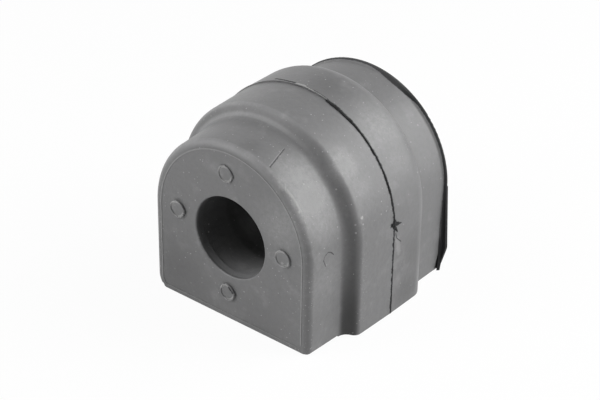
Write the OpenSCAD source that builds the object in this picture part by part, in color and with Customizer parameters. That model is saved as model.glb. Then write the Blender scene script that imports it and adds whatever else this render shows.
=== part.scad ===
// Rubber mount that holds a round bar under an arched bracket.
// One solid moulding: a flat base, an arched back, a slimmer nose in front,
// a rounded shoulder behind and a thin lip at the rear end.
// The bore runs front to back along Y. The base lies on the plane Z = 0, and
// the origin is on the base, halfway between the front and rear faces.

/* [Bore] */
// Diameter at the two grip lips, one at each mouth
bore_diameter = 20.8; // [18:0.1:22]
// Length of each grip lip
grip_length = 2.4; // [1.5:0.1:4]
// How much deeper than the grip lips the middle of the bore is cut
relief_depth = 0.5; // [0.2:0.1:1]
// Rounding of the bore's mouths
mouth_rounding = 0.4; // [0.2:0.1:0.8]
// How far the bore's centre lies below the centre of the arch
bore_drop = 0.9; // [0:0.1:1.5]

/* [Body] */
// Length from the front face to the rear face
body_length = 51; // [50:0.5:60]
// Height of the front half's arch centre above the base
arch_centre = 23.35; // [22:0.05:25]
// Width of the body at the moulding line, its widest place
body_width = 55.1; // [54:0.1:58]
// Distance from the front face to the moulding line
line_depth = 26.15; // [24:0.05:28]
// Taper of each side of the body's front half
body_draft = 1.5; // [0:0.5:4]

/* [Nose] */
// Width of the nose at the front face, before its edge is rounded
nose_width = 47; // [45:0.1:48]
// Distance from the front face to the middle of the step behind the nose
step_depth = 13; // [12:0.1:15]
// Taper of each side of the nose
nose_draft = 2.5; // [0:0.5:4]
// Rounding of the front face's edge along the arch and the sides
nose_edge = 1.9; // [1:0.1:2.5]
// Rounding of the nose's two lower side edges
nose_corner = 0.6; // [0.5:0.1:1.5]
// Steepest slope of the step, measured from the bore's axis
step_slope = 67; // [60:1:70]
// Radius of the hollow at the foot of the step
step_hollow = 2.6; // [1.5:0.1:2.8]
// Radius of the round at the top of the step
step_round = 2; // [1:0.1:2.2]

/* [Rear] */
// How much higher than the front half the rear half was moulded
rear_raise = 0.3; // [0:0.05:0.5]
// How far the sides of the collar behind the shoulder lie inside the body's
collar_step = 3.05; // [2:0.05:4]
// Rounding of the hollow between the shoulder and the collar
collar_hollow = 1; // [0.4:0.1:1.2]
// Distance from the front face to where the shoulder starts to round over
shoulder_depth = 35.6; // [34:0.1:37]
// Radius of the shoulder
shoulder_round = 4.6; // [3:0.1:5]
// How far the lip stands out from the sides of the collar
lip_rise = 0.65; // [0.4:0.05:1.5]
// How far the arch centre of the collar and lip lies below the front half's
collar_drop = 0.5; // [0:0.05:0.5]
// Thickness of the lip at its rim
lip_thickness = 0.9; // [0.6:0.1:1.5]
// How much further than the arch each foot of the lip spreads
foot_spread = 0.9; // [0.2:0.1:1.4]
// How much narrower than the arch each foot of the lip is at the base
foot_taper = 0.4; // [0.1:0.1:1]
// Height at which the feet of the lip are widest
foot_height = 5.8; // [4:0.1:9]

/* [Face details] */
// Diameter of the four round pads on the front face
pad_diameter = 4.6; // [3:0.1:6]
// Height of the tallest pads
pad_height = 0.7; // [0.4:0.1:1]
// Rounding of the pads' rims
pad_rim = 0.15; // [0.05:0.05:0.2]
// Distance of the pads from the arch's centre
pad_reach = 15.9; // [14.5:0.1:16.5]
// Height of the thin raised line around the front face
bead_height = 0.08; // [0.05:0.01:0.3]
// Width of the thin raised line
bead_width = 0.35; // [0.2:0.05:0.5]
// Height of the flash that stands along the moulding line
flash_height = 0.1; // [0.05:0.05:0.5]
// Width of the flash at its foot
flash_width = 0.7; // [0.4:0.1:1]

/* [Hidden] */
$fn = 96;
rubber_colour = [0.30, 0.30, 0.31];

// Direction of each pad seen from the front, and its share of the tallest pads' height
pads = [[1, 0.8], [94, 0.6], [177, 1], [268, 1]];
// Clear flat strip between the rounded edge of the front face and the raised line
bead_margin = 0.05;
// Height of the raised line's lower run above the base
bead_floor = 0.9;
// Inner rounding of the raised line's two lower corners
bead_corner = 1.4;
// Length of the flare between the collar and the lip, and its hollow's rounding
flare_length = 0.7;
lip_hollow = 1;
// Rounding of the lip's front and rear edges, and of its widest place at the feet
lip_front_edge = 0.3;
lip_rear_edge = 0.4;
foot_round = 3;
// Overlap that joins a raised detail to the surface below it
seat = 0.3;

nose_half = nose_width / 2;
body_half = body_width / 2;
collar_half = body_half - collar_step;
lip_half = collar_half + lip_rise;
rear_centre = arch_centre + rear_raise;
collar_centre = arch_centre - collar_drop;
bore_radius = bore_diameter / 2;
bore_centre = arch_centre - bore_drop;
relief_radius = bore_radius + relief_depth;

// The step's two corners, from the slopes that meet there
front_half = body_half - (line_depth - step_depth) * tan(body_draft);
step_foot_half = nose_half + step_depth * tan(nose_draft);
step_rise = front_half - step_foot_half;
step_run = step_rise / tan(step_slope);

// The shoulder's rounding and the hollow behind it meet in an S, at this slope
shoulder_slope = acos(1 - collar_step / (shoulder_round + collar_hollow));
shoulder_touch = shoulder_round * tan(shoulder_slope / 2);
shoulder_corner = shoulder_depth + shoulder_touch;
shoulder_end = shoulder_corner + shoulder_touch * cos(shoulder_slope);
shoulder_end_half = body_half - shoulder_touch * sin(shoulder_slope);
collar_start = shoulder_corner + collar_step / tan(shoulder_slope);
shoulder_sink = rear_raise + collar_drop + seat;
sink_end = collar_start + shoulder_sink / tan(shoulder_slope);
lip_start = body_length - lip_thickness - flare_length;

// The outlines below are half widths against depth. Each corner is a point
// and its rounding: above 0 an outer corner is rounded off, below 0 an inner
// corner is filled.

// Front half: the nose, the step and the body up to the moulding line
front_outline = [
    [[0, 0], 0],
    [[nose_half, 0], nose_edge],
    [[step_foot_half, step_depth - step_run / 2], -step_hollow],
    [[front_half, step_depth + step_run / 2], step_round],
    [[body_half, line_depth - flash_width / 2], 0],
    [[body_half + flash_height, line_depth], 0],
    [[0, line_depth], 0]
];

// Rear half: the body from the moulding line and the shoulder, whose slope
// runs on into the collar
rear_outline = [
    [[0, step_depth], 0],
    [[step_foot_half - seat, step_depth], 0],
    [[step_foot_half - seat, line_depth], 0],
    [[body_half + flash_height, line_depth], 0],
    [[body_half, line_depth + flash_width / 2], 0],
    [[body_half, shoulder_corner], shoulder_round],
    [[collar_half - shoulder_sink, sink_end], 0],
    [[0, sink_end], 0]
];

// Collar, from the hollow behind the shoulder to the lip that flares out
collar_outline = [
    [[0, shoulder_end], 0],
    [[shoulder_end_half, shoulder_end], 0],
    [[collar_half, collar_start], -collar_hollow],
    [[collar_half, lip_start], -lip_hollow],
    [[lip_half, lip_start + flare_length], lip_front_edge],
    [[lip_half, body_length], lip_rear_edge],
    [[0, body_length], 0]
];

function unit(v) = v / norm(v);
function wrap(i, n) = (i + n) % n;

// Sliver between a sharp corner and the arc that rounds it, with a little
// extra beyond the corner so that it cuts or joins cleanly
module corner_sliver(before, corner, after, radius) {
    side_a = unit(before - corner);
    side_b = unit(after - corner);
    middle = unit(side_a + side_b);
    half_angle = acos(side_a * middle);
    centre = corner + middle * radius / sin(half_angle);
    touch_a = corner + side_a * radius / tan(half_angle);
    touch_b = corner + side_b * radius / tan(half_angle);
    reach = 1 + 0.05 / radius;
    difference() {
        polygon([
            centre,
            centre + (touch_a - centre) * reach,
            corner - middle * 0.1,
            centre + (touch_b - centre) * reach
        ]);
        translate(centre) circle(r = radius);
    }
}

// Outline with each corner rounded by a true arc
module rounded_outline(corners) {
    count = len(corners);
    difference() {
        union() {
            polygon([for (c = corners) c[0]]);
            for (i = [0 : count - 1])
                if (corners[i][1] < 0)
                    corner_sliver(
                        corners[wrap(i - 1, count)][0],
                        corners[i][0],
                        corners[wrap(i + 1, count)][0],
                        -corners[i][1]
                    );
        }
        for (i = [0 : count - 1])
            if (corners[i][1] > 0)
                corner_sliver(
                    corners[wrap(i - 1, count)][0],
                    corners[i][0],
                    corners[wrap(i + 1, count)][0],
                    corners[i][1]
                );
    }
}

// Turns a shape drawn along Z so that it runs along the bore, front to back
module along_bore() {
    rotate([-90, 0, 0]) children();
}

// Half outline swept around the arch's centre, and carried straight down
// from there to the base on both sides
module arch_and_legs(outline, centre) {
    translate([0, 0, centre])
        along_bore()
            rotate([0, 0, 180])
                rotate_extrude(angle = 180)
                    rounded_outline(outline);
    for (side = [0, 1])
        mirror([side, 0, 0])
            linear_extrude(height = centre)
                rounded_outline(outline);
}

// Cutter that rounds one lower side edge of the nose
module nose_edge_cutter() {
    run = step_depth - step_run / 2 - step_hollow * tan((step_slope - nose_draft) / 2);
    translate([nose_half, 0, 0])
        rotate([0, 0, -nose_draft])
            difference() {
                translate([-nose_corner, -1, -1])
                    cube([nose_corner + 1, run + 1, nose_corner + 1]);
                translate([-nose_corner, -2, nose_corner])
                    along_bore()
                        cylinder(r = nose_corner, h = run + 3);
            }
}

// Spread foot on one side of the lip
module lip_foot() {
    translate([0, body_length, 0])
        rotate([90, 0, 0])
            linear_extrude(height = lip_thickness)
                rounded_outline([
                    [[0, 0], 0],
                    [[lip_half - foot_taper, 0], 0],
                    [[lip_half + foot_spread, foot_height], foot_round],
                    [[lip_half, collar_centre], 0],
                    [[0, collar_centre], 0]
                ]);
}

// Flat base with upright sides and an arched top, seen from the front
module arched_face(half, floor_height, corner) {
    translate([0, arch_centre]) circle(r = half);
    translate([-half, floor_height + corner])
        square([2 * half, arch_centre - floor_height - corner]);
    translate([corner - half, floor_height])
        square([2 * (half - corner), corner + seat]);
    for (side = [-1, 1])
        translate([side * (half - corner), floor_height + corner])
            circle(r = corner);
}

// Thin line around the front face, just inside its rounded edge
module face_bead() {
    outer = nose_half - nose_edge - bead_margin;
    translate([0, seat, 0])
        rotate([90, 0, 0])
            linear_extrude(height = bead_height + seat)
                difference() {
                    arched_face(outer, bead_floor, bead_corner + bead_width);
                    arched_face(outer - bead_width, bead_floor + bead_width, bead_corner);
                }
}

// Round pad with a soft rim, standing forward from the front face
module face_pad(height) {
    rotate([90, 0, 0])
        translate([0, 0, -seat])
            rotate_extrude()
                rounded_outline([
                    [[0, 0], 0],
                    [[pad_diameter / 2, 0], 0],
                    [[pad_diameter / 2, height + seat], pad_rim],
                    [[0, height + seat], 0]
                ]);
}

// Bore: a grip lip at each mouth and a slightly wider middle
module bore() {
    slope_run = relief_depth;
    translate([0, 0, bore_centre])
        along_bore() {
            translate([0, 0, -1])
                cylinder(r = bore_radius, h = body_length + 2);
            translate([0, 0, grip_length + slope_run])
                cylinder(r = relief_radius, h = body_length - 2 * (grip_length + slope_run));
            translate([0, 0, grip_length])
                cylinder(r1 = bore_radius, r2 = relief_radius, h = slope_run);
            translate([0, 0, body_length - grip_length - slope_run])
                cylinder(r1 = relief_radius, r2 = bore_radius, h = slope_run);
            bore_mouth();
            translate([0, 0, body_length])
                mirror([0, 0, 1])
                    bore_mouth();
        }
}

// Material that a rounded mouth takes off the bore's edge
module bore_mouth() {
    rotate_extrude()
        difference() {
            translate([0, -1])
                square([bore_radius + mouth_rounding, mouth_rounding + 1]);
            translate([bore_radius + mouth_rounding, mouth_rounding])
                circle(r = mouth_rounding);
        }
}

// The whole moulding
module rubber_mount() {
    color(rubber_colour)
        translate([0, -body_length / 2, 0])
            difference() {
                union() {
                    arch_and_legs(front_outline, arch_centre);
                    arch_and_legs(rear_outline, rear_centre);
                    arch_and_legs(collar_outline, collar_centre);
                    for (side = [0, 1])
                        mirror([side, 0, 0])
                            lip_foot();
                    face_bead();
                    for (pad = pads)
                        translate([
                            pad_reach * cos(pad[0]),
                            0,
                            arch_centre + pad_reach * sin(pad[0])
                        ])
                            face_pad(pad[1] * pad_height);
                }
                for (side = [0, 1])
                    mirror([side, 0, 0])
                        nose_edge_cutter();
                bore();
            }
}

rubber_mount();
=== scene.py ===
"""Dresses the stabilizer mount: moulded rubber finish, mould flash with torn tags, and studio."""

import logging
import math
from dataclasses import dataclass
from enum import Enum
from typing import Any, Iterable, Mapping, Sequence, Union

import bmesh
import bpy
from mathutils import Matrix, Vector, noise


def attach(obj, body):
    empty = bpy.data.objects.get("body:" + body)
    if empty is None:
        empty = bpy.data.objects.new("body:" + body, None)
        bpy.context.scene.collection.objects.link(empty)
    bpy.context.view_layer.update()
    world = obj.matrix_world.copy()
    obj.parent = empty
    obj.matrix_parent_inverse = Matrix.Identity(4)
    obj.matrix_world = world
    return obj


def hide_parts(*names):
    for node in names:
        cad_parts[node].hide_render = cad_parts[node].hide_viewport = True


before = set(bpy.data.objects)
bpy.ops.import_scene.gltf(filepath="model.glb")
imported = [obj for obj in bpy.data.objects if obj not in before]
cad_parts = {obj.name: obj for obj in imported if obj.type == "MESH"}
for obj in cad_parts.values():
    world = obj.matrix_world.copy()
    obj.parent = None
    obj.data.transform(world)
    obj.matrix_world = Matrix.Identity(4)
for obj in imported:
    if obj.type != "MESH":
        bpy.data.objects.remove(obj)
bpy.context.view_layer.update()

MM = 0.001
LOG = logging.getLogger("stabilizer_mount")

FACE = -25.5  # the front face's place along the bore
NOSE_CENTRE = 23.35  # the height of the nose's arch centre, and of the ring of pads
BODY_CENTRE = 23.50
BODY_RADIUS = 27.50
PARTING_LINE = 0.65  # the parting line's place along the bore
MARK_LIFT = 0.12  # how far outside the body its painted strokes run
FIN_SECTION = ((-0.5, 0.0), (-0.42, 0.6), (-0.12, 1.0), (0.16, 0.94), (0.44, 0.5), (0.5, 0.0))
TAG_SECTION = ((-1, 0), (-0.75, 0.75), (0, 1), (0.75, 0.75), (1, 0), (0, -0.35))

Colour = tuple[float, float, float]
Point = tuple[float, float, float]
Value = Union["Link", float, Sequence[float]]


class RayKind(Enum):
    """The rays that see the plain white background."""

    CAMERA = "Is Camera Ray"
    GLOSSY = "Is Glossy Ray"
    TRANSMISSION = "Is Transmission Ray"


class Link:
    """A shader socket that takes part in number maths like a Python number."""

    def __init__(self, graph: "ShaderGraph", socket: bpy.types.NodeSocket) -> None:
        """Wraps one output socket.

        Args:
            graph: the graph that the socket belongs to.
            socket: the output socket.
        """
        self.graph = graph
        self.socket = socket

    def __add__(self, other: Value) -> "Link":
        """self + other."""
        return self.graph.math("ADD", self, other)

    __radd__ = __add__

    def __sub__(self, other: Value) -> "Link":
        """self - other."""
        return self.graph.math("SUBTRACT", self, other)

    def __rsub__(self, other: Value) -> "Link":
        """other - self."""
        return self.graph.math("SUBTRACT", other, self)

    def __mul__(self, other: Value) -> "Link":
        """self * other."""
        return self.graph.math("MULTIPLY", self, other)

    __rmul__ = __mul__

    def __truediv__(self, other: Value) -> "Link":
        """self / other."""
        return self.graph.math("DIVIDE", self, other)

    def __rtruediv__(self, other: Value) -> "Link":
        """other / self."""
        return self.graph.math("DIVIDE", other, self)

    def __pow__(self, other: Value) -> "Link":
        """self ** other."""
        return self.graph.math("POWER", self, other)

    def __rpow__(self, other: Value) -> "Link":
        """other ** self."""
        return self.graph.math("POWER", other, self)

    def absolute(self) -> "Link":
        """The value without its sign."""
        return self.graph.math("ABSOLUTE", self)

    def most(self, other: Value) -> "Link":
        """The larger of the two values."""
        return self.graph.math("MAXIMUM", self, other)

    def least(self, other: Value) -> "Link":
        """The smaller of the two values."""
        return self.graph.math("MINIMUM", self, other)

    def parts(self) -> tuple["Link", "Link", "Link"]:
        """The three parts of a vector or colour."""
        split = self.graph.node("ShaderNodeSeparateXYZ", None, {"Vector": self})
        return tuple(Link(self.graph, socket) for socket in split.outputs)

    def ramp(self, start: float, end: float) -> "Link":
        """A smooth mask from 0 at start to 1 at end.

        Args:
            start: the value at which the mask leaves 0.
            end: the value at which the mask reaches 1.

        Returns:
            The mask; it falls where end is below start.
        """
        falls = end < start
        low, high = (end, start) if falls else (start, end)
        rise = self.graph.value(
            "ShaderNodeMapRange", {"interpolation_type": "SMOOTHSTEP", "clamp": True},
            {"Value": self, "From Min": low, "From Max": high},
        )
        return 1 - rise if falls else rise


class ShaderGraph:
    """A node tree that is written as Python expressions."""

    def __init__(self, tree: bpy.types.NodeTree) -> None:
        """Starts an empty tree.

        Args:
            tree: the tree of a material or a world.
        """
        tree.nodes.clear()
        self.tree = tree

    def node(
        self, kind: str, settings: Mapping[str, Any] | None = None,
        inputs: Mapping[str | int, Value] | None = None,
    ) -> bpy.types.Node:
        """Adds any node.

        Args:
            kind: the node's type.
            settings: its properties, set before its sockets.
            inputs: a value or a link for each socket, by name or number.

        Returns:
            The new node.
        """
        made = self.tree.nodes.new(kind)
        for name, value in (settings or {}).items():
            setattr(made, name, value)
        for key, value in (inputs or {}).items():
            socket = made.inputs[key]
            if isinstance(value, Link):
                self.tree.links.new(value.socket, socket)
            elif isinstance(value, (int, float)):
                socket.default_value = value
            else:
                whole = tuple(value)
                fourth = (1.0,) if socket.type == "RGBA" and len(whole) == 3 else ()
                socket.default_value = whole + fourth
        return made

    def value(
        self, kind: str, settings: Mapping[str, Any] | None = None,
        inputs: Mapping[str | int, Value] | None = None, output: str | int = 0,
    ) -> Link:
        """Adds any node for one of its outputs.

        Args:
            kind: the node's type.
            settings: its properties.
            inputs: a value or a link for each socket.
            output: the output's name or number.

        Returns:
            The output.
        """
        return Link(self, self.node(kind, settings, inputs).outputs[output])

    def math(self, operation: str, *values: Value) -> Link:
        """Adds a Math node."""
        return self.value("ShaderNodeMath", {"operation": operation}, dict(enumerate(values)))

    def vector(self, operation: str, *values: Value, result: str = "Vector") -> Link:
        """Adds a Vector Math node; its result is Vector or Value."""
        return self.value("ShaderNodeVectorMath", {"operation": operation}, dict(enumerate(values)), result)

    def scaled(self, vector: Value, factor: Value) -> Link:
        """Scales a vector, or makes a colour lighter or darker; 1 leaves it as it is."""
        return self.value("ShaderNodeVectorMath", {"operation": "SCALE"}, {0: vector, "Scale": factor})

    def blend(self, mask: Value, under: Value, over: Value) -> Link:
        """Mixes two colours.

        Args:
            mask: how much of the upper colour shows.
            under: the lower colour.
            over: the upper colour.

        Returns:
            The mixed colour.
        """
        return self.value(
            "ShaderNodeMix", {"data_type": "RGBA", "clamp_factor": True}, {0: mask, 6: under, 7: over}, 2)

    def noise(self, place: Link, scale: float, detail: float, rough: float) -> Link:
        """Adds a Noise texture.

        Args:
            place: the coordinates, in millimetres.
            scale: cells per millimetre.
            detail: octaves of finer noise.
            rough: how strong the finer noise is.

        Returns:
            A value round 0.5.
        """
        return self.value(
            "ShaderNodeTexNoise", None,
            {"Vector": place, "Scale": scale, "Detail": detail, "Roughness": rough},
        )

    def rubber(self, colour: Value, roughness: Value, specular: float, normal: Link) -> Link:
        """Adds a shader for rubber.

        Args:
            colour: the base colour.
            roughness: how matt it is.
            specular: how strongly it reflects.
            normal: the surface's normal.

        Returns:
            The shader.
        """
        return self.value("ShaderNodeBsdfPrincipled", None, {
            "Base Color": colour, "Roughness": roughness, "Specular IOR Level": specular, "Normal": normal,
        })

    def bump(self, height: Link) -> Link:
        """The normal that a height in millimetres gives."""
        return self.value("ShaderNodeBump", None, {"Strength": 1.0, "Distance": MM, "Height": height})

    def mix(self, mask: Link, under: Link, over: Link) -> Link:
        """Mixes two shaders by a mask."""
        return self.value("ShaderNodeMixShader", None, {0: mask, 1: under, 2: over})

    def finish(self, kind: str, shader: Link) -> None:
        """Links a shader to an output node of the given type."""
        self.node(kind, None, {"Surface": shader})


def new_graph(name: str) -> tuple[bpy.types.Material, ShaderGraph]:
    """Makes a material with an empty graph.

    Args:
        name: the material's name.

    Returns:
        The material and its graph.
    """
    material = bpy.data.materials.new(name)
    material.use_nodes = True
    return material, ShaderGraph(material.node_tree)


def highest(masks: Iterable[Link]) -> Link:
    """The highest of several masks at each point.

    Args:
        masks: one mask or more.

    Returns:
        The joined mask.
    """
    kept, *others = masks
    for mask in others:
        kept = kept.most(mask)
    return kept


@dataclass(frozen=True)
class Skin:
    """The moulding's surface in a graph: places in millimetres of the row frame, and its noises."""

    graph: ShaderGraph
    place: Link
    side: Link
    depth: Link
    height: Link
    rearward: Link
    cloud: Link
    mottle: Link
    grain: Link
    fray: Link

    @classmethod
    def on(cls, graph: ShaderGraph) -> "Skin":
        """Adds the places and noises to a graph.

        Args:
            graph: the graph to add nodes to.

        Returns:
            The surface.
        """
        coordinates = graph.node("ShaderNodeTexCoord")
        place = graph.scaled(Link(graph, coordinates.outputs["Object"]), 1 / MM)
        side, depth, height = place.parts()
        rearward = Link(graph, coordinates.outputs["Normal"]).parts()[1]
        return cls(
            graph, place, side, depth, height, rearward, cloud=graph.noise(place, 0.16, 3.0, 0.55),
            mottle=graph.noise(place, 0.9, 3.0, 0.6), grain=graph.noise(place, 5.5, 2.0, 0.6),
            fray=graph.noise(place, 2.6, 3.0, 0.65),
        )


@dataclass(frozen=True)
class Fade:
    """A rise from 0 to 1 between two values; it falls where the end is the lower one."""

    start: float
    end: float

    def over(self, value: Link) -> Link:
        """The mask over a value."""
        return value.ramp(self.start, self.end)


@dataclass(frozen=True)
class Band:
    """A stripe round one value: full within its inner half width and gone at its outer one."""

    middle: float
    outer: float
    inner: float

    def over(self, value: Link) -> Link:
        """The mask over a value."""
        return (value - self.middle).absolute().ramp(self.outer, self.inner)


@dataclass(frozen=True)
class Mark:
    """A short straight stroke on the rubber, in millimetres; the last three are shares of its half width."""

    start: Point
    end: Point
    half_width: float
    strength: float
    ragged: float = 2.4
    outer: float = 1.3
    inner: float = 0.5

    def mask(self, place: Link, edge: Link) -> Link:
        """A mask along the stroke with a ragged edge.

        Args:
            place: coordinates in millimetres.
            edge: noise that frays its edge.

        Returns:
            The mask.
        """
        graph = place.graph
        along = Vector(self.end) - Vector(self.start)
        offset = graph.vector("SUBTRACT", place, self.start)
        part = graph.vector("DOT_PRODUCT", offset, tuple(along / along.length_squared), result="Value")
        foot = graph.scaled(tuple(along), part.most(0.0).least(1.0))
        far = graph.vector("DISTANCE", offset, foot, result="Value")
        frayed = far + (edge - 0.5) * self.half_width * self.ragged
        return frayed.ramp(self.half_width * self.outer, self.half_width * self.inner) * self.strength


def arch_marks(
    angles: Sequence[float], depths: Sequence[float], half_width: float, strength: float,
) -> tuple[Mark, ...]:
    """Strokes that follow the arch of the body.

    Args:
        angles: degrees above the right-hand horizontal, one for each stop.
        depths: the stops' places along the bore, in millimetres.
        half_width: half the line's width.
        strength: how strongly the line shows.

    Returns:
        One stroke between each two stops.
    """
    reach = BODY_RADIUS + MARK_LIFT
    stops = []
    for angle, depth in zip(angles, depths):
        turn = math.radians(angle)
        stops.append((reach * math.cos(turn), depth, BODY_CENTRE + reach * math.sin(turn)))
    return tuple(Mark(a, b, half_width, strength) for a, b in zip(stops, stops[1:]))


@dataclass(frozen=True)
class Patch:
    """A round area on the rubber, in millimetres; the last four are shares of its radius."""

    centre: Point
    radius: float
    strength: float
    ragged: float = 1.8
    core: float = 0.45
    bent: float = 0.7
    reach: float = 1.15

    def mask(self, place: Link, edge: Link) -> Link:
        """A mask round the centre with a broken edge.

        Args:
            place: coordinates in millimetres.
            edge: noise that breaks up its edge.

        Returns:
            The mask.
        """
        far = place.graph.vector("DISTANCE", place, self.centre, result="Value")
        broken = far + (edge - 0.5) * self.radius * self.ragged
        return broken.ramp(self.radius, self.radius * self.core) * self.strength

    def glow(self, skin: Skin) -> Link:
        """A very soft mask round the centre, for slow changes of tone.

        Args:
            skin: the surface.

        Returns:
            The mask.
        """
        far = skin.graph.vector("DISTANCE", skin.place, self.centre, result="Value")
        bent = far + (skin.cloud - 0.5) * self.radius * self.bent
        return bent.ramp(self.radius * self.reach, 0.0) * self.strength


@dataclass(frozen=True)
class Specks:
    """Dust specks: cells per millimetre, a speck's share of its cell and the share of empty cells."""

    scale: float
    radius: float
    rare: float
    smallest: float = 0.7
    faintest: float = 0.25
    edge: Fade = Fade(1.2, 0.6)

    def mask(self, place: Link) -> Link:
        """Scatters the specks over the surface.

        Args:
            place: coordinates in millimetres.

        Returns:
            The mask.
        """
        graph = place.graph
        cell = graph.node("ShaderNodeTexVoronoi", {"feature": "F1"}, {"Vector": place, "Scale": self.scale})
        chance, size, faint = Link(graph, cell.outputs["Color"]).parts()
        kept = chance.ramp(self.rare, self.rare + 0.02)
        far = Link(graph, cell.outputs["Distance"]) / (size * self.radius + self.radius * self.smallest)
        return self.edge.over(far) * kept * (faint * (1 - self.faintest) + self.faintest)


@dataclass(frozen=True)
class Pad:
    """A round pad on the front face: its centre, height and the radius of its rim, in millimetres."""

    direction: float
    height: float
    reach: float = 15.9
    rim: float = 1.85

    @property
    def x(self) -> float:
        """The place across the moulding."""
        return self.reach * math.cos(math.radians(self.direction))

    @property
    def z(self) -> float:
        """The height above the base."""
        return NOSE_CENTRE + self.reach * math.sin(math.radians(self.direction))


PADS = (Pad(1.0, 0.56), Pad(94.0, 0.42), Pad(177.0, 0.70), Pad(268.0, 0.70))


@dataclass(frozen=True)
class HollowShade:
    """Painted shade in the hollow at the foot of the step, deepest low on its legs."""

    line: Band = Band(-12.9, 2.2, 0.6)
    legs: Fade = Fade(34.0, 4.0)
    feet: Fade = Fade(16.0, 3.0)
    leg_dark: float = 0.60
    foot_dark: float = 0.22

    def factor(self, skin: Skin) -> Link:
        """A factor for the colour, 1 away from the hollow."""
        low = self.legs.over(skin.height) * self.leg_dark + self.feet.over(skin.height) * self.foot_dark
        return 1 - self.line.over(skin.depth) * low


@dataclass(frozen=True)
class FrontRimHighlight:
    """Painted highlight on the rounded edge of the front face, over its arch."""

    line: Band = Band(-24.65, 0.95, 0.25)
    arch: Fade = Fade(26.0, 40.0)
    pale: float = 0.42

    def factor(self, skin: Skin) -> Link:
        """A factor for the colour, 1 away from the edge."""
        return 1 + self.line.over(skin.depth) * self.arch.over(skin.height) * self.pale


@dataclass(frozen=True)
class StepLightBands:
    """Painted highlight and shade bands that follow the step over the arch's top."""

    crest: Band = Band(-11.35, 0.80, 0.15)
    foot: Band = Band(-13.0, 0.50, 0.15)
    wall: Band = Band(-12.3, 0.42, 0.12)
    top: Fade = Fade(35.0, 44.0)
    middle: Fade = Fade(17.0, 2.0)
    pale: float = 0.42
    foot_share: float = 0.8
    dark: float = 0.12

    def factor(self, skin: Skin) -> Link:
        """The painted highlight and shade bands.

        Args:
            skin: the surface.

        Returns:
            A factor for the colour, 1 away from the step.
        """
        pale = self.crest.over(skin.depth).most(self.foot.over(skin.depth) * self.foot_share)
        over_top = self.top.over(skin.height) * self.middle.over(skin.side)
        return 1 + over_top * (pale * self.pale - self.wall.over(skin.depth) * self.dark)


@dataclass(frozen=True)
class BoreLightAndShade:
    """Painted shade in the bore, darker at its back, and painted light on its floor near the mouth."""

    centre: float = 22.45
    wall: Fade = Fade(11.3, 11.1)
    mouth: Fade = Fade(-25.2, -24.4)
    floor: Fade = Fade(19.0, 12.5)
    front: Fade = Fade(-10.0, -24.0)
    dark: float = 0.5
    floor_light: float = 1.1

    def factor(self, skin: Skin) -> Link:
        """The painted shade and light.

        Args:
            skin: the surface.

        Returns:
            A factor for the colour, 1 outside the bore.
        """
        radius = (skin.side ** 2 + (skin.height - self.centre) ** 2) ** 0.5
        inside = self.wall.over(radius) * self.mouth.over(skin.depth)
        floor = self.floor.over(skin.height) * self.front.over(skin.depth)
        return 1 - inside * (self.dark - floor * self.floor_light)


@dataclass(frozen=True)
class PaleRims:
    """The pale crests on the front face: the line round it, and the rims of the pads with painted
    highlights.
    """

    line: Band = Band(21.37, 0.22, 0.10)
    level: Band = Band(1.07, 0.22, 0.10)
    above_level: Fade = Fade(1.6, 2.4)
    level_ends: Fade = Fade(20.4, 19.6)
    face: Fade = Fade(-25.45, -25.5)
    level_share: float = 0.5
    least: float = 0.10
    broken: float = 0.45
    pad_outer: float = 0.34
    pad_inner: float = 0.14
    pad_sides: Fade = Fade(0.3, 0.95)
    pad_tops: Fade = Fade(-25.6, -25.7)
    pad_light: Point = (-0.5, 0.0, 0.85)
    pad_share: float = 0.6

    def bead(self, skin: Skin) -> Link:
        """The crest of the line round the front face.

        Args:
            skin: the surface.

        Returns:
            How much paler the crest is.
        """
        rise = (skin.height - NOSE_CENTRE).most(0.0)
        upright = self.line.over((skin.side ** 2 + rise ** 2) ** 0.5) * self.above_level.over(skin.height)
        level = self.level.over(skin.height) * self.level_ends.over(skin.side.absolute())
        strength = self.least + skin.fray * self.broken
        return upright.most(level * self.level_share) * self.face.over(skin.depth) * strength

    def pad_rims(self, skin: Skin) -> Link:
        """Painted highlights on the rims of the pads, strongest at their upper left and lower right, in line
        with the light.

        Args:
            skin: the surface.

        Returns:
            How strongly the painted highlight shows on the rims.
        """
        pale_rims = []
        for pad in PADS:
            across, up = skin.side - pad.x, skin.height - pad.z
            radius = (across ** 2 + up ** 2) ** 0.5
            towards = up * self.pad_light[2] + across * self.pad_light[0]
            lean = (towards / (radius + 0.01)).absolute()
            rim = Band(pad.rim, self.pad_outer, self.pad_inner)
            pale_rims.append(rim.over(radius) * self.pad_sides.over(lean))
        return highest(pale_rims) * self.pad_tops.over(skin.depth) * self.pad_share


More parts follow.
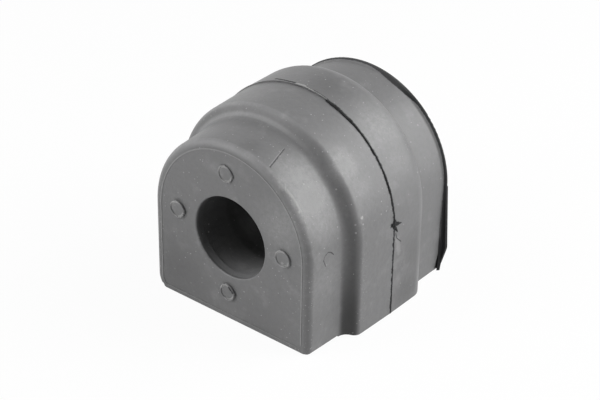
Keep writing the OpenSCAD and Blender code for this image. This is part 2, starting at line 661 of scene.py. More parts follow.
@dataclass(frozen=True)
class TornEdges:
    """Where fresh dark rubber shows: along the parting line, on the rear lip and in nicks and hairs; on the
    lip's concave flare the dark is painted shade.
    """

    flash_edge: Fade = Fade(0.40, 0.20)
    flash_fray: float = 0.9
    flash_mottle: float = 0.6
    flash_top: Fade = Fade(33.0, 44.0)
    flash_top_loss: float = 0.35
    strongest: float = 0.92
    calm_side: Fade = Fade(7.2, 6.9)
    calm_height: Fade = Fade(33.0, 36.0)
    lip_start: float = 24.38
    lip_low: Fade = Fade(36.0, 10.0)
    low_width: float = 0.45
    low_softness: float = 0.75
    lip_foot: Fade = Fade(5.0, 0.0)
    foot_width: float = 0.7
    lip_fray: float = 0.4
    lip_tear: Patch = Patch((9.5, 24.6, 46.0), 7.5, 0.75)
    lip_edge: Fade = Fade(-0.08, 0.10)
    lip_end: Fade = Fade(25.50, 25.35)
    lip_top: Fade = Fade(43.0, 46.0)
    lip_top_loss: float = 0.30
    flare_side: Fade = Fade(24.56, 24.68)
    flare_depth: Fade = Fade(23.1, 23.6)
    flare_curl: float = 0.9
    flare_height: Fade = Fade(11.0, 7.0)
    off_rear: Fade = Fade(0.92, 0.75)
    marks: tuple[Mark, ...] = (
        Mark((10.35, -23.6, 44.5), (8.8, -16.8, 45.55), 0.14, 0.55),
        Mark((23.85, -17.3, 24.0), (23.75, -18.1, 24.9), 0.15, 0.55),
        Mark((23.75, -18.1, 24.9), (23.7, -19.1, 25.4), 0.12, 0.45),
        Mark((23.7, -19.1, 25.4), (23.7, -20.3, 24.8), 0.12, 0.45),
        Mark((23.7, -20.3, 24.8), (23.7, -20.7, 23.9), 0.12, 0.45),
        Mark((23.7, -20.7, 23.9), (23.75, -20.0, 22.1), 0.13, 0.45),
        Mark((27.55, 1.3, 22.2), (27.55, 1.8, 20.6), 0.15, 0.60),
        Mark((27.55, 1.8, 20.6), (27.55, 3.5, 18.9), 0.13, 0.60),
        Mark((27.55, -0.25, 24.9), (27.55, 0.9, 24.7), 0.50, 0.95),
        Mark((0.1, -26.0, 9.0), (1.1, -26.0, 8.0), 0.32, 0.90),
        *arch_marks((110.0, 105.5, 101.0, 96.0), (1.95, 1.6, 1.25, 1.2), 0.24, 0.85),
        *arch_marks((105.0, 99.0, 93.0), (0.3, 0.25, 0.3), 0.10, 0.35),
        *arch_marks((93.0, 87.0, 81.0, 75.0), (0.3, 0.3, 0.3, 0.3), 0.14, 0.85),
        *arch_marks((89.0, 84.0, 79.0, 75.0), (1.3, 1.15, 1.05, 0.95), 0.13, 0.8),
    )

    def flash(self, skin: Skin) -> Link:
        """The parting line, left out over the top of the arch and high on its left.

        Args:
            skin: the surface.

        Returns:
            The mask.
        """
        calm = self.calm_side.over(skin.side) * self.calm_height.over(skin.height)
        frayed = (skin.fray - 0.5) * self.flash_fray + (skin.mottle - 0.5) * self.flash_mottle
        line = self.flash_edge.over((skin.depth - PARTING_LINE).absolute() + frayed) * (1 - calm)
        return line * (self.strongest - self.flash_top.over(skin.height) * self.flash_top_loss)

    def lip(self, skin: Skin) -> Link:
        """The outer edge of the rear lip, broader low down, at its tear and on its flared feet; fresh
        rubber, with painted shade on the concave flare.

        Args:
            skin: the surface.

        Returns:
            The mask.
        """
        low, foot = self.lip_low.over(skin.height), self.lip_foot.over(skin.height)
        wide = low * self.low_width + foot * self.foot_width + self.lip_tear.glow(skin)
        frayed = skin.depth - self.lip_start + wide + (skin.fray - 0.5) * self.lip_fray
        edge = self.lip_edge.over(frayed * (1 - low * self.low_softness)) * self.lip_end.over(skin.depth)
        curled = skin.depth + foot * self.flare_curl
        # Painted shade in the concave flare between the collar and the lip's foot.
        flare_shade = (self.flare_side.over(skin.side.absolute()) * self.flare_depth.over(curled)
                 * self.flare_height.over(skin.height))
        torn = edge.most(flare_shade) * self.off_rear.over(skin.rearward)
        return torn * (self.strongest - self.lip_top.over(skin.height) * self.lip_top_loss)

    def mask(self, skin: Skin) -> Link:
        """All the torn places together."""
        marks = [mark.mask(skin.place, skin.fray) for mark in self.marks]
        return highest([self.flash(skin), self.lip(skin)] + marks)


@dataclass(frozen=True)
class Relief:
    """How high the noises, specks and flakes stand, and how deep torn places lie, in millimetres."""

    grain: float = 0.016
    mottle: float = 0.055
    cloud: float = 0.10
    specks: float = 0.03
    flakes: float = 0.05
    torn: float = 0.10

    def height(self, skin: Skin, specks: Link, flaked: Link, torn: Link) -> Link:
        """The relief's height.

        Args:
            skin: the surface.
            specks: where dust specks lie.
            flaked: where the skin flakes.
            torn: where the rubber is torn.

        Returns:
            The height in millimetres.
        """
        return (
            (skin.grain - 0.5) * self.grain + (skin.mottle - 0.5) * self.mottle
            + (skin.cloud - 0.5) * self.cloud + specks * self.specks + flaked * self.flakes
            - torn * (skin.fray * self.torn)
        )


@dataclass(frozen=True)
class MouldedRubber:
    """Satin black-grey rubber as it leaves the mould, with dust, bloom and fresh torn edges, and painted
    highlights and shade.
    """

    name: str = "moulded_rubber"
    tone: Colour = (0.150, 0.150, 0.152)
    pale: Colour = (0.255, 0.255, 0.256)
    # The dust colour also paints the highlights on the pad rims.
    dust_and_highlight: Colour = (0.420, 0.420, 0.415)
    fresh_and_shade: Colour = (0.022, 0.022, 0.023)
    roughness: float = 0.44
    specular: float = 0.5
    torn_roughness: float = 0.8
    torn_specular: float = 0.1
    rough_mottle: float = 0.12
    rough_grain: float = 0.10
    rough_pale: float = 0.08
    rough_specks: float = 0.3
    clouding: Fade = Fade(0.52, 0.72)
    cloud_bloom: float = 0.35
    pale_mottle: float = 0.9
    pale_fray: float = 1.3
    pale_loss: float = 0.15
    tone_base: float = 0.72
    tone_mottle: float = 0.30
    tone_grain: float = 0.26
    dust_cover: float = 0.8
    relief: Relief = Relief()
    # Painted shade and highlights: the hollow, the front rim, the step's bands and the bore.
    hollow: HollowShade = HollowShade()
    front_rim_highlight: FrontRimHighlight = FrontRimHighlight()
    step: StepLightBands = StepLightBands()
    bore: BoreLightAndShade = BoreLightAndShade()
    pale_rims: PaleRims = PaleRims()
    torn: TornEdges = TornEdges()
    specks: tuple[Specks, ...] = (Specks(1.15, 0.13, 0.74), Specks(0.42, 0.07, 0.64))
    thick_specks: Specks = Specks(1.9, 0.20, 0.58)
    # Pale patches are painted highlights and painted light, most on the upper right where the light falls.
    highlight_patches: tuple[Patch, ...] = (
        Patch((17.5, 6.0, 44.5), 9.0, 0.80),
        Patch((23.0, 6.0, 38.0), 6.0, 0.45),
        Patch((15.0, -19.0, 42.0), 7.5, 1.1),
        Patch((18.8, -19.5, 37.5), 7.0, 1.7),
        Patch((21.5, -19.5, 33.0), 8.0, 0.80),
        Patch((23.7, -19.5, 18.0), 9.0, 0.45),
        Patch((19.5, -8.7, 42.0), 5.5, 1.3),
        Patch((-10.0, -8.8, 47.5), 9.0, 0.45),
        Patch((23.5, -7.5, 37.0), 4.5, 0.50),
        Patch((15.5, -25.5, 32.0), 9.0, 0.70),
        Patch((-17.5, -4.0, 44.0), 8.0, 0.60),
        Patch((-27.5, 7.0, 20.0), 9.0, 0.55),
        Patch((22.5, 19.5, 31.0), 5.0, 0.20),
    )
    # Painted shade on the face's lower left and low on the right side; the two on the top are darker
    # smudges.
    shade_and_smudge_patches: tuple[Patch, ...] = (
        Patch((-17.0, -25.5, 6.0), 17.0, 0.30),
        Patch((-20.0, -25.5, 18.0), 9.0, 0.12),
        Patch((8.0, -25.5, 3.0), 12.0, 0.12),
        Patch((3.0, 5.0, 50.5), 8.0, 0.30),
        Patch((27.5, 8.0, 13.0), 9.0, 0.22),
        Patch((27.5, 6.0, 4.0), 7.0, 0.30),
        Patch((3.5, -22.5, 46.3), 3.5, 0.22),
    )
    flakes: tuple[Patch, ...] = (
        Patch((19.3, -24.3, 36.7), 0.45, 1.0),
        Patch((26.1, -10.05, 31.2), 0.50, 1.0),
        Patch((-21.5, -24.5, 33.0), 0.50, 0.8),
        Patch((15.9, -26.0, 22.5), 0.55, 0.55),
        Patch((26.4, -10.1, 29.6), 0.35, 0.8),
    )
    light_marks: tuple[Mark, ...] = (
        Mark((10.1, -23.6, 44.75), (8.6, -16.8, 45.7), 0.11, 0.40),
        Mark((13.6, -24.6, 42.4), (14.9, -24.4, 41.3), 0.30, 0.45),
        Mark((14.9, -24.4, 41.3), (17.1, -24.0, 39.6), 0.38, 0.55),
        Mark((17.1, -24.0, 39.6), (19.4, -23.8, 36.6), 0.30, 0.40),
        Mark((27.55, 2.1, 20.2), (27.55, 2.9, 16.2), 0.75, 0.22),
        *arch_marks((95.0, 91.0, 87.5, 85.0), (1.05, 1.25, 1.05, 0.9), 0.34, 0.75),
        *arch_marks((84.0, 80.0, 76.0), (0.75, 0.72, 0.70), 0.20, 0.45),
    )
    dusty_marks: tuple[Mark, ...] = (
        Mark((22.6, -25.0, 33.0), (22.9, -25.0, 3.0), 1.5, 1.0),
        Mark((27.0, -10.2, 30.0), (27.2, -10.2, 4.0), 1.3, 0.8),
        Mark((-22.6, -25.0, 30.0), (-22.9, -25.0, 5.0), 1.3, 0.8),
        Mark((13.5, -24.6, 42.0), (21.0, -24.6, 34.0), 1.5, 0.9),
    )

    def tone_factors(self, skin: Skin) -> list[Link]:
        """What makes the colour lighter or darker from place to place: random tone, and painted shade and
        highlights.

        Args:
            skin: the surface.

        Returns:
            Factors for the colour.
        """
        return [
            self.tone_base + skin.mottle * self.tone_mottle + skin.grain * self.tone_grain,
            self.hollow.factor(skin),
            1 - highest(patch.glow(skin) for patch in self.shade_and_smudge_patches),
            self.bore.factor(skin),
            self.front_rim_highlight.factor(skin),
            self.step.factor(skin),
        ]

    def dust_specks(self, skin: Skin) -> Link:
        """The specks, thicker along the dusty marks.

        Args:
            skin: the surface.

        Returns:
            The mask.
        """
        dusty = highest(mark.mask(skin.place, skin.mottle) for mark in self.dusty_marks)
        thick = self.thick_specks.mask(skin.place) * dusty * self.dust_cover
        return highest([specks.mask(skin.place) for specks in self.specks] + [thick])

    def build(self) -> bpy.types.Material:
        """Makes the material.

        Returns:
            The material with its nodes.
        """
        material, graph = new_graph(self.name)
        skin = Skin.on(graph)
        clouds = self.clouding.over(skin.cloud) * self.cloud_bloom
        # Pale bloom: random clouding, plus the painted highlights of the pale patches.
        bloom_and_highlight = highest([patch.glow(skin) for patch in self.highlight_patches] + [clouds])
        specks = self.dust_specks(skin)
        flaked = highest(spot.mask(skin.place, skin.fray) for spot in (*self.flakes, *self.light_marks))
        # Fresh dark rubber, with painted shade on the lip's concave flare.
        fresh_and_shade = self.torn.mask(skin)
        grainy = skin.mottle * self.pale_mottle + skin.fray * self.pale_fray - self.pale_loss
        colour = graph.blend(bloom_and_highlight * grainy, self.tone, self.pale)
        for factor in self.tone_factors(skin):
            colour = graph.scaled(colour, factor)
        colour = graph.blend(specks.most(flaked) * self.dust_cover, colour, self.dust_and_highlight)
        # A paler bead crest, and painted highlights on the pad rims.
        colour = graph.blend(self.pale_rims.bead(skin).most(self.pale_rims.pad_rims(skin)), colour, self.dust_and_highlight)
        colour = graph.blend(fresh_and_shade, colour, self.fresh_and_shade)
        rough = (
            self.roughness + (skin.mottle - 0.5) * self.rough_mottle + (skin.grain - 0.5) * self.rough_grain
            + bloom_and_highlight * self.rough_pale + specks * self.rough_specks
        )
        height = self.relief.height(skin, specks, flaked, fresh_and_shade)
        normal = graph.bump(height)
        satin = graph.rubber(colour, rough, self.specular, normal)
        matt = graph.rubber(self.fresh_and_shade, self.torn_roughness, self.torn_specular, normal)
        graph.finish("ShaderNodeOutputMaterial", graph.mix(fresh_and_shade, satin, matt))
        return material


@dataclass(frozen=True)
class TornRubber:
    """Fresh dark rubber of the mould flash and of torn edges."""

    name: str = "torn_rubber"
    tone: Colour = (0.020, 0.020, 0.021)
    worn: Colour = (0.110, 0.110, 0.110)
    roughness: float = 0.70
    rough_grain: float = 0.3
    specular: float = 0.15
    wear: Fade = Fade(0.54, 0.76)
    wear_strength: float = 0.5
    fray_height: float = 0.10
    grain_height: float = 0.03

    def build(self) -> bpy.types.Material:
        """Makes the material.

        Returns:
            The material with its nodes.
        """
        material, graph = new_graph(self.name)
        place = graph.scaled(graph.value("ShaderNodeTexCoord", output="Object"), 1 / MM)
        fray = graph.noise(place, 3.2, 3.0, 0.65)
        grain = graph.noise(place, 9.0, 2.0, 0.6)
        colour = graph.blend(self.wear.over(fray) * self.wear_strength, self.tone, self.worn)
        height = (fray - 0.5) * self.fray_height + (grain - 0.5) * self.grain_height
        roughness = self.roughness + (grain - 0.5) * self.rough_grain
        shader = graph.rubber(colour, roughness, self.specular, graph.bump(height))
        graph.finish("ShaderNodeOutputMaterial", shader)
        return material


@dataclass
class ArchPath:
    """The D-shaped way round the moulding, from the left foot over the arch to the right foot."""

    half_width: float
    centre: float
    foot: float = 0.25

    @property
    def length(self) -> float:
        """The length of the way, in millimetres."""
        return 2 * (self.centre - self.foot) + math.pi * self.half_width

    def at(self, along: float) -> tuple[Vector, Vector]:
        """A point of the way.

        Args:
            along: millimetres from the left foot.

        Returns:
            The point and the outward normal, both with no depth.
        """
        leg = self.centre - self.foot
        if along < leg:
            return Vector((-self.half_width, 0, self.foot + along)), Vector((-1, 0, 0))
        if along > self.length - leg:
            return Vector((self.half_width, 0, self.foot + self.length - along)), Vector((1, 0, 0))
        turn = math.pi - (along - leg) / self.half_width
        outward = Vector((math.cos(turn), 0, math.sin(turn)))
        return Vector((0, 0, self.centre)) + outward * self.half_width, outward

    def along_at(self, angle: float) -> float:
        """How far along the way the arch has a given angle above the right side.

        Args:
            angle: degrees above the right-hand horizontal.

        Returns:
            Millimetres from the left foot.
        """
        return self.centre - self.foot + (math.pi - math.radians(angle)) * self.half_width


@dataclass(frozen=True)
class Knot:
    """A thicker place in a line of flash."""

    along: float
    spread: float
    height: float
    width: float


@dataclass(frozen=True)
class Blister:
    """A flat raised bubble in the skin of the moulding."""

    name: str
    place: Vector
    outward: Vector
    radius: float
    length: float
    rise: float
    uneven: float = 0.18

    def build(self) -> bpy.types.Object:
        """Builds the closed mesh.

        Returns:
            The blister.
        """
        shape = bmesh.new()
        bmesh.ops.create_uvsphere(shape, u_segments=32, v_segments=16, radius=1.0)
        outward = self.outward.normalized()
        aside = Vector((0, 0, 1)).cross(outward).normalized()
        along = outward.cross(aside).normalized()
        for point in shape.verts:
            wave = 1 + self.uneven * noise.noise(point.co * 1.7)
            spot = (aside * point.co.x * self.radius * wave + along * point.co.y * self.length * wave
                    + outward * point.co.z * self.rise)
            point.co = (self.place + spot) * MM
        bmesh.ops.recalc_face_normals(shape, faces=shape.faces)
        return object_from(shape, self.name)


@dataclass
class RaggedFin:
    """A thin ragged line of flash that is seated in the moulding along an arch path."""

    name: str
    path: ArchPath
    depth: float
    height: float
    width: float
    seed: int
    calm: tuple[float, float]
    knots: Sequence[Knot]
    calm_fade: float = 0.7
    slow: float = 0.55
    fast: float = 2.1
    lowest: float = 0.05
    narrowest: float = 0.35
    wander: float = 0.12
    seat: float = 0.15
    step: float = 0.16

    def section(self, along: float) -> tuple[float, float, float]:
        """The fin's size at one place.

        Args:
            along: millimetres along the path.

        Returns:
            Height, width and sideways shift, in millimetres.
        """
        place = Vector((along * self.slow, self.seed * 7.3, 0.0))
        fine = Vector((along * self.fast, self.seed * 3.1, 5.0))
        ragged = 0.5 + noise.noise(place) * 0.9 + noise.noise(fine) * 0.45
        high = self.height * max(self.lowest, ragged)
        wide = self.width * max(self.narrowest, 0.8 + noise.noise(fine + Vector((0, 9, 2))) * 0.7)
        for knot in self.knots:
            bell = math.exp(-((along - knot.along) / knot.spread) ** 2)
            high += knot.height * bell * max(0.3, 0.9 + noise.noise(fine) * 0.8)
            wide += knot.width * bell
        edge = min(along - self.calm[0], self.calm[1] - along)
        left = 1 - min(1.0, max(0.0, edge / self.calm_fade))
        shift = self.wander * (noise.noise(place + Vector((3, 1, 8))) + 0.5 * noise.noise(fine * 0.7))
        return high * max(0.04, left), wide * (self.narrowest + (1 - self.narrowest) * left), shift

    def build(self) -> bpy.types.Object:
        """Builds the closed mesh.

        Returns:
            The fin.
        """
        shape = bmesh.new()
        count = int(self.path.length / self.step)
        rings = []
        for index in range(count + 1):
            along = self.path.length * index / count
            point, outward = self.path.at(along)
            high, wide, shift = self.section(along)
            ring = []
            for side, rise in FIN_SECTION:
                out = -self.seat if rise == 0 else rise * high
                across = self.depth + shift + side * wide
                spot = point + outward * out + Vector((0, across, 0))
                ring.append(shape.verts.new(spot * MM))
            rings.append(ring)
        return tube_from(shape, rings, self.name)


@dataclass
class TornTag:
    """A short tongue of torn flash that bends away from the moulding and tapers to a point."""

    name: str
    root: Vector
    along: Vector
    outward: Vector
    length: float
    width: float
    bend: float
    seed: int
    thickness: float = 0.22
    lift: float = 0.35
    thinnest: float = 0.03
    seat: float = 0.1
    rows: int = 18

    def build(self) -> bpy.types.Object:
        """Builds the closed mesh.

        Returns:
            The tag.
        """
        shape = bmesh.new()
        along = self.along.normalized()
        aside = along.cross(self.outward).normalized()
        rings = []
        for row in range(self.rows + 1):
            share = row / self.rows
            rough = 1 + 0.5 * noise.noise(Vector((share * 6, self.seed * 2.7, 1)))
            half = max(self.thinnest, self.width / 2 * (1 - share ** 1.5) * rough)
            thick = max(self.thinnest, self.thickness * (1 - 0.7 * share))
            middle = (self.root + along * self.length * share + aside * self.bend * share ** 2
                      + self.outward * (self.lift * share ** 1.6 - self.seat * (1 - share)))
            ring = []
            for across, out in TAG_SECTION:
                spot = middle + aside * half * across + self.outward * thick * out
                ring.append(shape.verts.new(spot * MM))
            rings.append(ring)
        return tube_from(shape, rings, self.name)


def object_from(shape: bmesh.types.BMesh, name: str) -> bpy.types.Object:
    """Turns a bmesh into a smooth object in the scene.

    Args:
        shape: the mesh, which is freed.
        name: the object's name.

    Returns:
        The new object.
    """
    mesh = bpy.data.meshes.new(name)
    shape.to_mesh(mesh)
    shape.free()
    for face in mesh.polygons:
        face.use_smooth = True
    made = bpy.data.objects.new(name, mesh)
    bpy.context.scene.collection.objects.link(made)
    return made


def tube_from(
    shape: bmesh.types.BMesh, rings: Sequence[Sequence[bmesh.types.BMVert]], name: str,
) -> bpy.types.Object:
    """Joins rings of points into a closed tube.

    Args:
        shape: the mesh that holds the points, which is freed.
        rings: the rings in order, with as many points each.
        name: the object's name.

    Returns:
        The new object.
    """
    for before, after in zip(rings, rings[1:]):
        for corner in range(len(before)):
            following = (corner + 1) % len(before)
            shape.faces.new((before[corner], before[following], after[following], after[corner]))
    shape.faces.new(rings[0])
    shape.faces.new(list(reversed(rings[-1])))
    bmesh.ops.recalc_face_normals(shape, faces=shape.faces)
    return object_from(shape, name)


def smooth_step(value: float, start: float, end: float) -> float:
    """A smooth rise from 0 at start to 1 at end.

    Args:
        value: the place.
        start: where the rise begins.
        end: where it ends; below start it falls the other way.

    Returns:
        The share, 0 to 1.
    """
    share = min(1.0, max(0.0, (value - start) / (end - start)))
    return share * share * (3 - 2 * share)


@dataclass
class WornSkin:
    """The moulding's skin: the CAD solid with its worn corner, dished pads and curled lip feet."""

    name: str = "worn_moulding"
    half_width: float = 23.5
    draft: float = 0.0437
    edge: float = 1.9
    corner: float = 3.0
    corner_fade: tuple[float, float] = (-13.5, -20.0)
    corner_box: tuple[Point, Point] = ((-25.0, -26.0, -1.0), (-19.8, -13.0, 3.2))
    corner_cuts: tuple[tuple[int, tuple[float, ...]], ...] = (
        (0, (-23.3, -23.0, -22.6, -22.1, -21.5, -20.9, -20.5)),
        (2, (0.2, 0.5, 0.9, 1.4, 2.0, 2.5, 3.0)),
        (1, (-22.0, -20.5, -19.0, -17.5, -16.0, -14.5)),
    )
    pad_reach: float = 2.4
    pad_scale: float = 0.93
    pad_press: float = 0.80
    rim_flat: float = 0.14
    rim_slope: float = 0.34
    dish: float = 0.13
    foot_boxes: tuple[tuple[Point, Point], ...] = (
        ((-27.0, 23.0, -1.0), (-23.0, 26.0, 6.0)), ((23.0, 23.0, -1.0), (27.0, 26.0, 6.0)),
    )
    foot_cuts: tuple[float, ...] = (0.7, 1.4, 2.1, 2.8, 3.6, 4.4)
    foot_height: float = 5.6
    foot_ease: float = 1.4
    foot_forward: float = 1.4
    foot_outward: float = 0.45
    lip_front: float = 24.0
    lip_middle: float = 24.6
    lip_sides: tuple[float, float] = (23.2, 24.6)
    crease: float = 28.0
    weld: float = 1e-7

    def split(
        self, shape: bmesh.types.BMesh, low: Point, high: Point, axis: int, stops: Sequence[float],
    ) -> None:
        """Cuts the faces in one box along planes, so that they can bend.

        Args:
            shape: the mesh, in millimetres.
            low: the box's lowest corner.
            high: the box's highest corner.
            axis: the axis that the planes stand across.
            stops: the planes' places on it.
        """
        normal = Vector([float(index == axis) for index in range(3)])
        for stop in stops:
            faces = [
                face for face in shape.faces
                if all(min(v.co[i] for v in face.verts) < high[i]
                       and max(v.co[i] for v in face.verts) > low[i] for i in range(3))
            ]
            edges = {edge for face in faces for edge in face.edges}
            points = {point for face in faces for point in face.verts}
            bmesh.ops.bisect_plane(
                shape, geom=[*faces, *edges, *points], dist=1e-5, plane_co=normal * stop, plane_no=normal)

    def extent(self, depth: float) -> float:
        """Half the nose's width at one depth, with its rounded front edge.

        Args:
            depth: the place along the bore.

        Returns:
            The half width, in millimetres.
        """
        wall = self.half_width + self.draft * (depth - FACE)
        into = min(self.edge, max(0.0, FACE + self.edge - depth))
        return wall - (self.edge - math.sqrt(self.edge ** 2 - into ** 2))

    def wear_corner(self, shape: bmesh.types.BMesh) -> None:
        """Rounds the lower left corner of the nose, most at its front.

        Args:
            shape: the mesh, in millimetres.
        """
        for axis, stops in self.corner_cuts:
            self.split(shape, *self.corner_box, axis, stops)
        middle = -self.half_width + self.corner
        for point in shape.verts:
            if point.co.x >= middle or point.co.z >= self.corner or point.co.y > self.corner_fade[0]:
                continue
            wide = self.extent(point.co.y) + middle
            across = min(1.0, (middle - point.co.x) / wide)
            down = (self.corner - point.co.z) / self.corner
            pull = (max(across, down) / math.hypot(across, down) - 1) * smooth_step(
                point.co.y, *self.corner_fade)
            point.co.x -= across * pull * wide
            point.co.z -= down * pull * self.corner

    def dish_pads(self, shape: bmesh.types.BMesh) -> None:
        """Presses the pads a little narrower and lower, with a rim round a dished middle.

        Args:
            shape: the mesh, in millimetres.
        """
        for pad in PADS:
            tops = []
            for face in shape.faces:
                middle = face.calc_center_median()
                if (math.hypot(middle.x - pad.x, middle.z - pad.z) < self.pad_reach
                        and middle.y < FACE - pad.height + 0.02):
                    tops.append(face)
            for point in shape.verts:
                across, up = point.co.x - pad.x, point.co.z - pad.z
                if math.hypot(across, up) < self.pad_reach + 0.05 and point.co.y < FACE + 0.05:
                    point.co.x = pad.x + across * self.pad_scale
                    point.co.z = pad.z + up * self.pad_scale
                    point.co.y = FACE + (point.co.y - FACE) * self.pad_press
            bmesh.ops.inset_region(shape, faces=tops, thickness=self.rim_flat, depth=0.0)
            bmesh.ops.inset_region(shape, faces=tops, thickness=self.rim_slope, depth=-self.dish)

    def curl_feet(self, shape: bmesh.types.BMesh) -> None:
        """Bends the lip's feet forward and outward towards the base.

        Args:
            shape: the mesh, in millimetres.
        """
        for low, high in self.foot_boxes:
            self.split(shape, low, high, 2, self.foot_cuts)
        for point in shape.verts:
            if point.co.y < self.lip_front or point.co.z > self.foot_height:
                continue
            down = (1 - point.co.z / self.foot_height) ** self.foot_ease
            bend = down * smooth_step(abs(point.co.x), *self.lip_sides)
            point.co.y -= self.foot_forward * bend * (1 + 0.5 * max(0.0, point.co.y - self.lip_middle))
            point.co.x += math.copysign(self.foot_outward * bend, point.co.x)

    def build(self, solid: bpy.types.Object) -> bpy.types.Object:
        """Builds the skin from the CAD solid.

        Args:
            solid: the CAD solid's object.

        Returns:
            The skin, a closed mesh.
        """
        shape = bmesh.new()
        shape.from_mesh(solid.data)
        bmesh.ops.remove_doubles(shape, verts=shape.verts, dist=self.weld)
        bmesh.ops.scale(shape, vec=(1 / MM,) * 3, verts=shape.verts)
        self.wear_corner(shape)
        self.dish_pads(shape)
        self.curl_feet(shape)
        bmesh.ops.triangulate(shape, faces=shape.faces)
        bmesh.ops.scale(shape, vec=(MM,) * 3, verts=shape.verts)
        bare = object_from(shape, self.name)
        for layer in ("custom_normal", "sharp_face", "sharp_edge"):
            if layer in bare.data.attributes:
                bare.data.attributes.remove(bare.data.attributes[layer])
        bare.data.set_sharp_from_angle(angle=math.radians(self.crease))
        weighted = bare.modifiers.new("even_shading", "WEIGHTED_NORMAL")
        weighted.keep_sharp = True
        settled = bare.evaluated_get(bpy.context.evaluated_depsgraph_get())
        bare.data = bpy.data.meshes.new_from_object(settled)
        bare.modifiers.clear()
        return bare


@dataclass
class RubberMoulding:
    """The mount itself: its skin with its finish, and the flash that the mould left on it."""

    body: str = "root"
    material_slot: str = "rubber"
    node: str = "rubber_mount"
    blister: Blister = Blister(
        "skin_blister", Vector((14.77, -24.56, 41.39)), Vector((0.54, -0.51, 0.67)), 0.85, 1.1, 0.22)

    def dress_body(self) -> bpy.types.Object:
        """Puts the worn skin in place of the CAD solid and gives it its finish.

        Returns:
            The skin.
        """
        skin = WornSkin().build(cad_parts[self.node])
        skin.data.materials.clear()
        skin.data.materials.append(MouldedRubber().build())
        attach(skin, self.body)
        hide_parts(self.node)
        return skin

    def flash_pieces(self) -> list[bpy.types.Object]:
        """Builds the flash along the parting line and the tags torn from it.

        Returns:
            The pieces, not yet attached.
        """
        way = ArchPath(BODY_RADIUS, BODY_CENTRE)
        knots = [
            Knot(way.along_at(64), 4.5, 0.20, 0.75),
            Knot(way.along_at(73), 2.0, 0.10, 0.30),
            Knot(way.along_at(41.6), 0.7, 0.25, 0.40),
            Knot(way.along_at(21.5), 0.9, 0.25, 0.45),
            Knot(way.along_at(4), 1.4, 0.25, 0.40),
            Knot(way.along_at(163), 1.2, 0.15, 0.30),
            Knot(way.length - 1.5, 2.0, 0.10, 0.35),
            Knot(3.0, 2.0, 0.12, 0.30),
        ]
        calm = (way.along_at(157), way.along_at(75))
        line = RaggedFin("mould_flash", way, PARTING_LINE, 0.22, 0.32, 11, calm, knots)
        left, right = Vector((-0.96, 0, 0.28)), Vector((1, 0, 0))
        tags = [
            TornTag("flash_tag_upper", Vector((27.5, 0.3, 24.9)), Vector((0, 0.97, -0.25)), right,
                    2.9, 1.7, bend=-0.2, seed=3),
            TornTag("flash_tag_lower", Vector((27.5, 0.5, 24.7)), Vector((0, 0.57, -0.82)), right,
                    2.6, 1.4, bend=0.3, seed=8),
            TornTag("flash_tag_front", Vector((27.5, 1.2, 24.9)), Vector((0, -0.95, 0.1)), right,
                    1.7, 1.9, bend=0.1, seed=5),
            TornTag("flash_tag_left", Vector((-27.5, 0.6, 31.0)), Vector((0.12, 0.6, 0.75)), left,
                    1.6, 0.7, bend=0.3, seed=6),
        ]
        return [piece.build() for piece in (line, *tags)]

    def build(self) -> list[bpy.types.Object]:
        """Builds and attaches everything on the moulding.

        Returns:
            All pieces, the skin first.
        """
        skin = self.dress_body()
        rubber, torn = skin.data.materials[0], TornRubber().build()
        added = [(self.blister.build(), rubber)] + [(piece, torn) for piece in self.flash_pieces()]
        for piece, finish in added:
            piece.data.materials.append(finish)
            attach(piece, self.body)
        return [skin] + [piece for piece, _ in added]


@dataclass(frozen=True)
class PhotoCamera:
    """The camera at the photograph's viewing angle; its place and sensor are in millimetres."""

    place: Point = (243.254, -303.417, 258.634)
    azimuth: float = 38.712
    elevation: float = 31.442
    roll: float = 0.914
    focal_pixels: float = 1907.197
    sensor: float = 36.0
    picture_width: float = 600.0
    nearest: float = 0.01

    def build(self) -> bpy.types.Object:
        """Makes the camera and sets it as the scene's.

        Returns:
            The camera object.
        """
        turn, tilt, roll = (math.radians(a) for a in (self.azimuth, self.elevation, self.roll))
        ahead = Vector((-math.sin(turn) * math.cos(tilt), math.cos(turn) * math.cos(tilt), -math.sin(tilt)))
        level = Vector((math.cos(turn), math.sin(turn), 0))
        right = level * math.cos(roll) + level.cross(ahead) * math.sin(roll)
        lens = bpy.data.cameras.new("photo_camera")
        lens.sensor_width = self.sensor
        lens.lens = self.focal_pixels / self.picture_width * self.sensor
        lens.clip_start = self.nearest
        camera = bpy.data.objects.new("photo_camera", lens)
        bpy.context.scene.collection.objects.link(camera)
        placed = Matrix((right, right.cross(ahead), -ahead)).transposed().to_4x4()
        placed.translation = Vector(self.place) * MM
        camera.matrix_world = placed
        bpy.context.scene.camera = camera
        return camera


@dataclass(frozen=True)
class Softbox:
    """A round studio lamp aimed at the mount; azimuth 0 is in front of the nose and 90 on its right."""

    azimuth: float
    elevation: float
    power: float


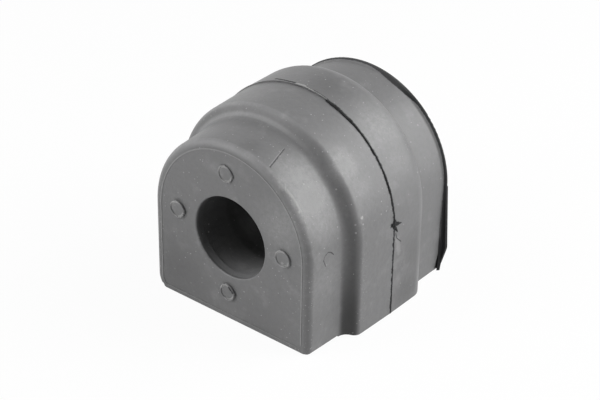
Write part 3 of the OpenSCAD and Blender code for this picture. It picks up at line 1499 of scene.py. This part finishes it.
@dataclass(frozen=True)
class Studio:
    """A plain pale floor, a white surround and soft lamps round the mount, in metres."""

    aim: Point = (0.0, 0.0, 0.024)
    distance: float = 0.5
    diameter: float = 0.26
    floor_size: float = 3.0
    floor_gap: float = 0.0002
    floor_tone: float = 0.88
    surround: float = 0.05
    glow: float = 0.95
    softboxes: tuple[Softbox, ...] = (
        Softbox(120, 30, 0.98), Softbox(120, 8, 0.75), Softbox(330, 30, 0.71),
        Softbox(135, 52, 0.68), Softbox(150, 30, 0.51), Softbox(330, 8, 0.44),
        Softbox(315, 52, 0.38), Softbox(300, 8, 0.15), Softbox(120, 72, 0.15),
        Softbox(300, 30, 0.14), Softbox(270, 8, 0.12), Softbox(300, 72, 0.08),
    )

    def background_mask(self, graph: ShaderGraph) -> Link:
        """Marks the rays that see the background as plain white.

        Args:
            graph: the graph to add nodes to.

        Returns:
            1 for those rays and 0 for the rest.
        """
        rays = graph.node("ShaderNodeLightPath")
        return highest(Link(graph, rays.outputs[kind.value]) for kind in RayKind)

    def build_floor(self) -> bpy.types.Object:
        """Makes the floor, white to the camera but with the mount's shadow.

        Returns:
            The floor.
        """
        material, graph = new_graph("studio_floor")
        matt = graph.value("ShaderNodeBsdfDiffuse", None, {"Color": (self.floor_tone,) * 3})
        white = graph.value("ShaderNodeEmission", None, {"Color": (1.0, 1.0, 1.0), "Strength": 1.0})
        mixed = graph.mix(self.background_mask(graph) * self.glow, matt, white)
        graph.finish("ShaderNodeOutputMaterial", mixed)
        shape = bmesh.new()
        bmesh.ops.create_grid(shape, x_segments=1, y_segments=1, size=self.floor_size / 2)
        floor = object_from(shape, "studio_floor")
        floor.location.z = -self.floor_gap
        floor.data.materials.append(material)
        return floor

    def build_world(self) -> None:
        """Makes the surround: white where it is seen, faint where it lights."""
        world = bpy.data.worlds.new("studio_surround")
        world.use_nodes = True
        graph = ShaderGraph(world.node_tree)
        seen = self.background_mask(graph)
        sky = graph.value("ShaderNodeBackground", None, {
            "Color": (1.0, 1.0, 1.0), "Strength": seen * (1 - self.surround) + self.surround,
        })
        graph.finish("ShaderNodeOutputWorld", sky)
        bpy.context.scene.world = world

    def build_softboxes(self) -> None:
        """Places the lamps on a dome round the mount."""
        for index, box in enumerate(self.softboxes):
            turn, tilt = math.radians(box.azimuth), math.radians(box.elevation)
            towards = Vector((
                math.sin(turn) * math.cos(tilt), -math.cos(turn) * math.cos(tilt), math.sin(tilt)))
            lamp = bpy.data.lights.new(f"softbox_{index}", "AREA")
            lamp.shape = "DISK"
            lamp.size = self.diameter
            lamp.energy = box.power
            placed = bpy.data.objects.new(lamp.name, lamp)
            placed.location = Vector(self.aim) + towards * self.distance
            placed.rotation_euler = (-towards).to_track_quat("-Z", "Y").to_euler()
            placed.visible_camera = False
            bpy.context.scene.collection.objects.link(placed)

    def build(self) -> None:
        """Makes the floor, the surround and the lamps."""
        self.build_floor()
        self.build_world()
        self.build_softboxes()
        bpy.context.scene.view_settings.view_transform = "Standard"


def report(pieces: Iterable[bpy.types.Object]) -> None:
    """Logs each piece with its size.

    Args:
        pieces: the pieces that were built.
    """
    for piece in pieces:
        size = " x ".join(f"{length / MM:.2f}" for length in piece.dimensions)
        LOG.info("%s: %s mm, %d faces", piece.name, size, len(piece.data.polygons))


def main() -> None:
    """Builds the camera, the studio and the mount, and logs the pieces' sizes."""
    logging.basicConfig(level=logging.INFO, format="%(name)s %(message)s")
    PhotoCamera().build()
    Studio().build()
    pieces = RubberMoulding().build()
    bpy.context.view_layer.update()
    report(pieces)


if __name__ == "__main__":
    main()
